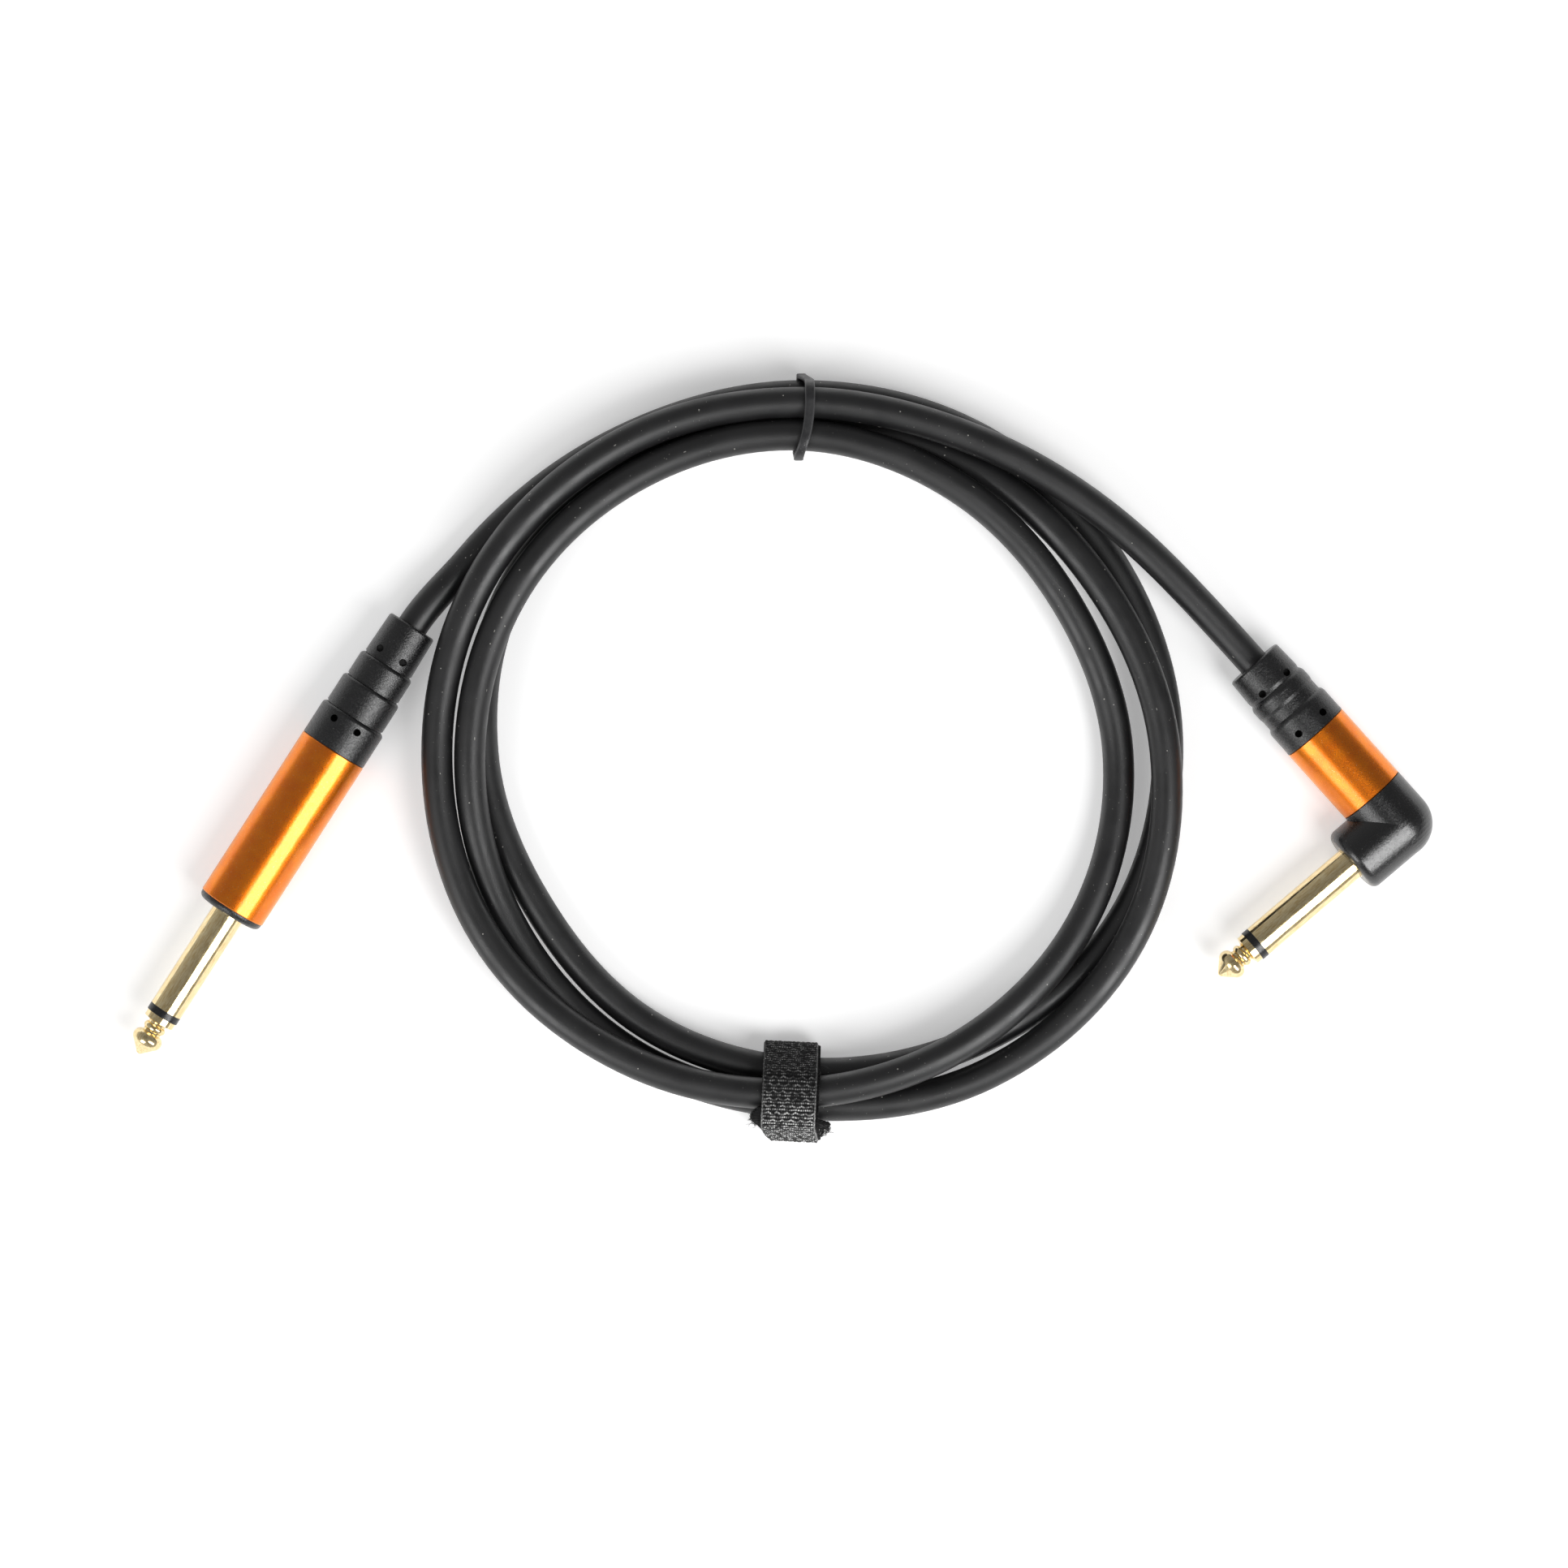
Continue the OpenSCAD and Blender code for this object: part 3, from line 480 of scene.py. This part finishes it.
def knit(u, v):
    """Height, 0 to 1, of a warp-knitted face: rows of arcs and rows of dashes, staggered."""
    row = np.floor(v / KNIT_L)
    x = u / KNIT_W + 0.5 * (row % 2)
    y = v / KNIT_L - row
    arc = (np.exp(-((y - ARC_LOW - ARC_RISE * np.abs(np.sin(np.pi * x))) / 0.11) ** 2)
           * (0.35 + 0.65 * np.cos(np.pi * x) ** 2))
    dash = np.exp(-((y - DASH_AT) / 0.09) ** 2) * (0.6 + 0.4 * np.cos(4 * np.pi * x))
    return np.maximum(arc, dash)


# Strap: from its head on the outer side, down under the bundle, up the inner side, over the top
# and down over its own head. The head is wider than the rest, and the last stretch leans to one
# side. The face is knitted; the back stands proud of it on one side.
normals = np.linspace(75, -404, 980)
line = wrap_line(TIE_BUNDLE, TIE_DRIFT, TIE_SLACK, CABLE_D / 2 + WRAP_GAP + TIE_T / 2, normals,
                 TIE_T * smooth((-225 - normals) / 60))
line, run = resample(line, TIE_STEP)
tangent = unit(np.gradient(line, axis=0))
for _ in range(6):
    tangent[1:-1] = unit(tangent[:-2] + 2 * tangent[1:-1] + tangent[2:])
outward = np.stack([-tangent[:, 1], tangent[:, 0]], axis=1)
total = run[-1]
from_tail = total - run
lean = 0.75 * smooth((13 - from_tail) / 9)
rounded_corner = 1.3 * smooth((9.5 - from_tail) / 7) ** 2
left = lean - TIE_HALF_W + rounded_corner - np.interp(run, HEAD_RUN, HEAD_LEFT)
right = lean + TIE_HALF_W + np.interp(run, HEAD_RUN, HEAD_RIGHT)
across = np.linspace(-1, 1, TIE_COLUMNS)
lateral = left[:, None] + (right - left)[:, None] * (across[None] + 1) / 2

rng = np.random.default_rng(7)
u, v = lateral, np.broadcast_to(run[:, None], lateral.shape)
wobble = 0.08 * np.sin(v * 2.1 + 3 * np.sin(u * 0.9)) + 0.05 * np.sin(u * 3.7 + v * 0.8)
height = knit(u + wobble, v + 0.5 * wobble)
edge = TIE_HALF_W * (1 - np.abs(across)[None])
selvedge = np.exp(-((edge - 0.22) / 0.13) ** 2) * (0.7 + 0.3 * np.sin(v * 9))
height = np.maximum(height, selvedge) * smooth(edge / 0.12)
fuzz = rng.normal(0, 1, u.shape)
half_t = (TIE_T / 2 - 0.08) * (0.25 + 0.75 * smooth(edge / 0.35))
proud = 0.45 * smooth(across - 0.1)[None] * smooth(run / 8 - 1)[:, None]
sheets = [on_coil(line[:, 0, None] + outward[:, 0, None] * level,
                  line[:, 1, None] + outward[:, 1, None] * level, side, TIE_ANGLE) * MM
          for level, side in ((half_t + 0.17 * (height - 0.5) + 0.01 * fuzz, lateral),
                              (-half_t + 0.05 * fuzz, lateral + proud))]
points = np.concatenate([sheet.reshape(-1, 3) for sheet in sheets])
rows, columns = lateral.shape
count = rows * columns
faces = [f[::-1] for f in grid_faces(rows, columns, False)] + grid_faces(rows, columns, False, count)
rim = ([i * columns for i in range(rows)] + [(rows - 1) * columns + k for k in range(1, columns)]
       + [i * columns + columns - 1 for i in range(rows - 2, -1, -1)]
       + list(range(columns - 2, 0, -1)))
faces += [(a, b, b + count, a + count) for a, b in zip(rim, rim[1:] + rim[:1])]
uv = np.stack([np.tile((u + wobble).ravel(), 2), np.tile((v + 0.5 * wobble).ravel(), 2)],
              axis=1) * MM
strap = make_piece("tie_strap", points, faces, "tie", uv)
# Painted light on the yarn along the strap: dull over the top, bright down the outer side that faces the
# lamps
tone_shift = (0.28 + 0.14 * smooth((from_tail - 22) / 3) + 0.27 * smooth((19.5 - from_tail) / 3)
        + 0.45 * smooth((17.5 - from_tail) / 3))
face_and_painted_light = smooth(edge / 0.1) * (smooth((run - 14) / 2) * tone_shift)[:, None]
# The face attribute is the knitted face's mask scaled by that painted light
for name, values in (("knit_face_and_painted_light", face_and_painted_light), ("selvedge", selvedge)):
    shade = strap.data.attributes.new(name, "FLOAT", "POINT")
    shade.data.foreach_set(
        "value", np.concatenate([values.ravel(), np.zeros(count)]).astype(np.float32))


def on_strap(at, side, level):
    """A point of the strap, from its place along it, its side and its height above the middle."""
    r, z, out_r, out_z = (np.interp(at, run, row)
                          for row in (line[:, 0], line[:, 1], outward[:, 0], outward[:, 1]))
    return on_coil(np.array(r + out_r * level), np.array(z + out_z * level), np.array(side),
                   TIE_ANGLE) * MM


def fibre(at, side, level, run_step, side_step, rise, curl, count=6):
    """A fibre from a place on the strap, that leans along, sideways and outwards, and curls."""
    t = np.linspace(0, 1, count)
    bend = curl * np.sin(np.pi * t)
    return np.array([on_strap(at + run_step * k + bend[i], side + side_step * k + 0.6 * bend[i],
                              level + rise * k) for i, k in enumerate(t)])


def hairs(name, paths, radius, body, sides=4):
    """One piece of many thin fibres, each along its own line of points."""
    all_points, all_faces, all_uv, first = [], [], [], 0
    for path in paths:
        points, faces, uv = tube(path, np.linspace(radius, 0.45 * radius, len(path)) * MM, sides)
        all_points.append(points)
        all_uv.append(uv)
        all_faces += [tuple(first + i for i in face) for face in faces]
        first += len(points)
    return make_piece(name, np.concatenate(all_points), all_faces, body, np.concatenate(all_uv))


def side_at(at, edge_line):
    return float(np.interp(at, run, edge_line))


dark, light = [], []
# Fuzz on both edges of the head
for _ in range(240):
    at = rng.uniform(0.1, 14.0)
    sign = -1 if at < 5.5 and rng.uniform() < 0.7 else 1
    where = side_at(at, left if sign < 0 else right) - sign * rng.uniform(0, 0.7)
    dark.append(fibre(at, where, rng.uniform(0.1, 0.5), rng.normal(0, 0.35),
                      sign * rng.uniform(0.15, 0.75), rng.uniform(0, 0.25), rng.normal(0, 0.25)))
# Fuzz on the right edge, over the top and down the outer side
for _ in range(150):
    at = rng.uniform(total - 24, total - 5)
    dark.append(fibre(at, side_at(at, right) + rng.uniform(-0.1, 0.3), rng.uniform(-0.5, 0.1),
                      rng.normal(0, 0.3), rng.uniform(0.1, 0.42), rng.uniform(-0.1, 0.2),
                      rng.normal(0, 0.2)))
# Cut end of the tail
for _ in range(70):
    at = total - abs(rng.normal(0, 0.2))
    dark.append(fibre(at, rng.uniform(side_at(total, left), side_at(total, right)),
                      rng.uniform(-0.3, 0.5), rng.uniform(0.05, 0.3), rng.normal(0, 0.15), 0.1,
                      rng.normal(0, 0.1)))
# Light-coloured threads on the right side of the head: painted glints on its black hooks
for _ in range(46):
    at = rng.uniform(5.5, 13.0)
    light.append(fibre(at, side_at(at, right) - rng.uniform(0.2, 2.4), 0.6, rng.uniform(0.35, 1.0),
                       rng.normal(0, 0.16), rng.uniform(0.05, 0.25), rng.normal(0, 0.06)))
# Long loose fibres at the head's ears
for at, side, along, sideways, curl in (
        (3.2, -6.4, 0.9, -1.3, 0.5), (4.1, -6.1, 1.6, -0.9, -0.5), (4.6, -5.7, 1.9, -0.8, 0.4),
        (7.4, 8.0, -0.5, 1.2, 0.35), (6.6, 8.1, 0.4, 0.9, -0.3)):
    dark.append(fibre(at, side, 0.5, along, sideways, 0.3, curl, 9))
# A loop of thread that hangs out of the right edge
loop_at = total - 25.2
dark.append(np.array([on_strap(loop_at + 0.9 - 0.75 * math.cos(k) + 0.2 * k / 6,
                               5.9 + 0.62 * (1 + math.sin(k - 1.3)) + 0.1 * k, 0.1 + 0.12 * k)
                      for k in np.linspace(0, 2 * np.pi, 22)]))
fuzz_piece = hairs("tie_fuzz", dark, 0.045, "tie")
painted_glint_piece = hairs("tie_painted_glint_threads", light, 0.055, "tie")
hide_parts("hook_loop_tie")

# Knitted nylon: bright arcs and dashes of yarn over a dark ground, in the weave's own coordinates. The
# knit pattern is the strap's own; the yarn's near-white colour is painted sheen of the black nylon, and
# it carries the painted light along the strap
look = Look("tie_nylon", rgb(30, 30, 32), 0.5, Specular_IOR_Level=0.2, Sheen_Weight=0.06,
            Sheen_Roughness=0.35)
place = add(look.tree, "SeparateXYZ", {0: look.uv((1 / MM, 1 / MM, 1))})
course = look.math("DIVIDE", place.outputs["Y"], KNIT_L)
row = look.math("FLOOR", course)
y = look.math("SUBTRACT", course, row)
stitch = look.math("DIVIDE", place.outputs["X"], KNIT_W)
stagger = look.times(look.math("FLOORED_MODULO", row, 2.0), 0.5)
x = look.times(look.math("ADD", stitch, stagger), math.pi)
crown = look.math("POWER", look.math("COSINE", x), 2.0)
bow = look.math("ADD", look.times(look.math("ABSOLUTE", look.math("SINE", x)), ARC_RISE), ARC_LOW)
off_arc = look.distance(y, bow)
off_dash = look.distance(y, DASH_AT)
arc = look.times(look.map(off_arc, 0.06, 0.17, 1, 0), look.map(crown, 0, 0.7, 0.25, 1))
dashes = look.map(look.math("COSINE", look.times(x, 8.0)), -0.7, 0.2, 0.1, 1)
dash = look.times(look.map(off_dash, 0.05, 0.15, 1, 0), dashes)
strands = look.map(look.math("COSINE", look.times(x, 10.0)), -0.8, 0.3, 0.25, 1)
yarn = look.larger(look.times(arc, strands), dash)
uneven = look.map(look.noise(0.9, 4), 0.4, 0.56, 0.06, 1)
# This face attribute also carries the painted light along the strap
face = add(look.tree, "Attribute", attribute_name="knit_face_and_painted_light").outputs["Fac"]
rib = add(look.tree, "Attribute", attribute_name="selvedge").outputs["Fac"]
yarn = look.times(look.larger(look.times(yarn, uneven), look.times(rib, 0.5)), face)
flecks = look.mix(look.map(look.noise(0.35, 2), 0.5, 0.75, 0, 1), (3, 3, 4), (62, 62, 62))
ground = add(look.tree, "Mix", {0: face, 6: rgba(5, 5, 6), 7: flecks}, data_type="RGBA").outputs[2]
# Painted sheen: near-white yarn stands in for the shine of the black nylon
look.set("Base Color", look.mix(yarn, ground, (215, 215, 214)))
look.set("Roughness", look.map(yarn, 0.1, 0.9, 0.75, 0.38))
look.bump(yarn, 0.06)
look.bump(look.noise(0.09, 2), 0.03)
dress(look.material, strap)

look = Look("tie_fuzz_black", rgb(12, 12, 13), 0.6)
look.gloss(look.noise(0.5), 0.5, 0.7)
dress(look.material, fuzz_piece)
# Pale threads: painted glints of the head's black hooks
look = Look("tie_painted_glint", rgb(185, 185, 182), 0.45)
look.set("Base Color", look.mix(look.map(look.noise(1.2), 0.35, 0.65, 0, 1),
                                (120, 120, 118), (215, 215, 212)))
dress(look.material, painted_glint_piece)

# Band: a flat rubber loop that wanders sideways a little where it crosses the bundle
normals = np.linspace(-90, 270, 721)
line = wrap_line(BAND_BUNDLE, BAND_DRIFT, 0, CABLE_D / 2 + WRAP_GAP + BAND_T / 2, normals, 0 * normals)
line, run = resample(line, BAND_STEP)
line, run = line[:-1], run[:-1]
tangent = unit(np.roll(line, -1, axis=0) - np.roll(line, 1, axis=0))
outward = np.stack([tangent[:, 1], -tangent[:, 0]], axis=1)
sway = np.where(line[:, 1] > BAND_TOP_Z, np.interp(line[:, 0], BAND_TOP_R, BAND_TOP_SWAY),
                np.interp(line[:, 0], BAND_UNDER_R, BAND_UNDER_SWAY))
sway = np.convolve(np.concatenate([sway[-8:], sway, sway[:8]]), np.ones(17) / 17, "valid")
turn = np.linspace(0, 2 * np.pi, BAND_SIDES, endpoint=False)
px = np.sign(np.cos(turn)) * np.abs(np.cos(turn)) ** BAND_SQUARENESS * BAND_W / 2
py = np.sign(np.sin(turn)) * np.abs(np.sin(turn)) ** BAND_SQUARENESS * BAND_T / 2
r = line[:, 0, None] + outward[:, 0, None] * py[None]
z = line[:, 1, None] + outward[:, 1, None] * py[None]
points = on_coil(r, z, sway[:, None] + px[None], BAND_ANGLE) * MM
uv = np.stack(np.broadcast_arrays(px[None], run[:, None]), axis=-1) * MM
last = (len(line) - 1) * BAND_SIDES
faces = grid_faces(len(line), BAND_SIDES, True) + [
    (last + k, last + (k + 1) % BAND_SIDES, (k + 1) % BAND_SIDES, k) for k in range(BAND_SIDES)]
band = make_piece("band_loop", points.reshape(-1, 3), faces, "band", uv.reshape(-1, 2))
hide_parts("rubber_band")

# Dull rubber, paler along its two edges
look = Look("band_rubber", rgb(62, 62, 64), 0.55)
place = add(look.tree, "SeparateXYZ", {0: look.uv((1 / MM, 1 / MM, 1))})
rib = look.map(look.math("ABSOLUTE", place.outputs["X"]), 0.62, 0.85, 0, 1)
tone = look.patches(look.noise(1.5, 4), (30, 30, 32), (46, 46, 47))
tone = look.mix(look.specks(0.8, 0.07, 0.5), tone, (110, 110, 108))
look.set("Base Color", look.mix(rib, tone, (66, 66, 67)))
look.gloss(look.noise(0.7), 0.34, 0.5)
look.bump(look.noise(0.3), 0.02)
dress(look.material, band)

# ---------- floor, lamps and surroundings ----------

mesh = bpy.data.meshes.new("floor")
mesh.from_pydata([(x * FLOOR_HALF, y * FLOOR_HALF, 0) for x, y in ((-1, -1), (1, -1), (1, 1), (-1, 1))],
                 [], [(0, 1, 2, 3)])
floor = bpy.data.objects.new("floor", mesh)
bpy.context.scene.collection.objects.link(floor)
look = Look("floor_white", (0.88, 0.88, 0.88), 0.9, Specular_IOR_Level=0.0,
            Emission_Color=(1, 1, 1, 1))
rays = add(look.tree, "LightPath")
seen = look.larger(look.larger(rays.outputs["Is Camera Ray"], rays.outputs["Is Glossy Ray"]),
                   rays.outputs["Is Transmission Ray"])
look.set("Emission Strength", look.times(seen, FLOOR_GLOW))
dress(look.material, floor)


def lamp(name, azimuth, elevation, distance, size, energy):
    """A rectangular lamp that points at the middle of the floor; angles are in degrees."""
    light = bpy.data.lights.new(name, "AREA")
    light.shape = "RECTANGLE"
    light.size, light.size_y = size
    light.energy = energy
    made = bpy.data.objects.new(name, light)
    a, e = math.radians(azimuth), math.radians(elevation)
    made.location = (distance * math.cos(e) * math.cos(a), distance * math.cos(e) * math.sin(a),
                     distance * math.sin(e))
    made.rotation_euler = (math.pi / 2 - e, 0, a + math.pi / 2)
    bpy.context.scene.collection.objects.link(made)


lamp("softbox_right", azimuth=-40, elevation=46, distance=1.15, size=(0.45, 0.9), energy=11.0)
lamp("softbox_left", azimuth=-140, elevation=38, distance=1.15, size=(0.5, 0.8), energy=5.4)

world = bpy.data.worlds.new("studio")
bpy.context.scene.world = world
world.use_nodes = True
tree = world.node_tree
direction = add(tree, "TexCoord").outputs["Generated"]
slope = add(tree, "VectorMath", {0: direction, 1: SKY_SLOPE}, operation="DOT_PRODUCT").outputs["Value"]
level = add(tree, "Math", {0: slope, 1: SKY_LEVEL}, operation="ADD").outputs[0]
tree.links.new(level, tree.nodes["Background"].inputs["Color"])

bpy.context.scene.view_settings.view_transform = "Standard"
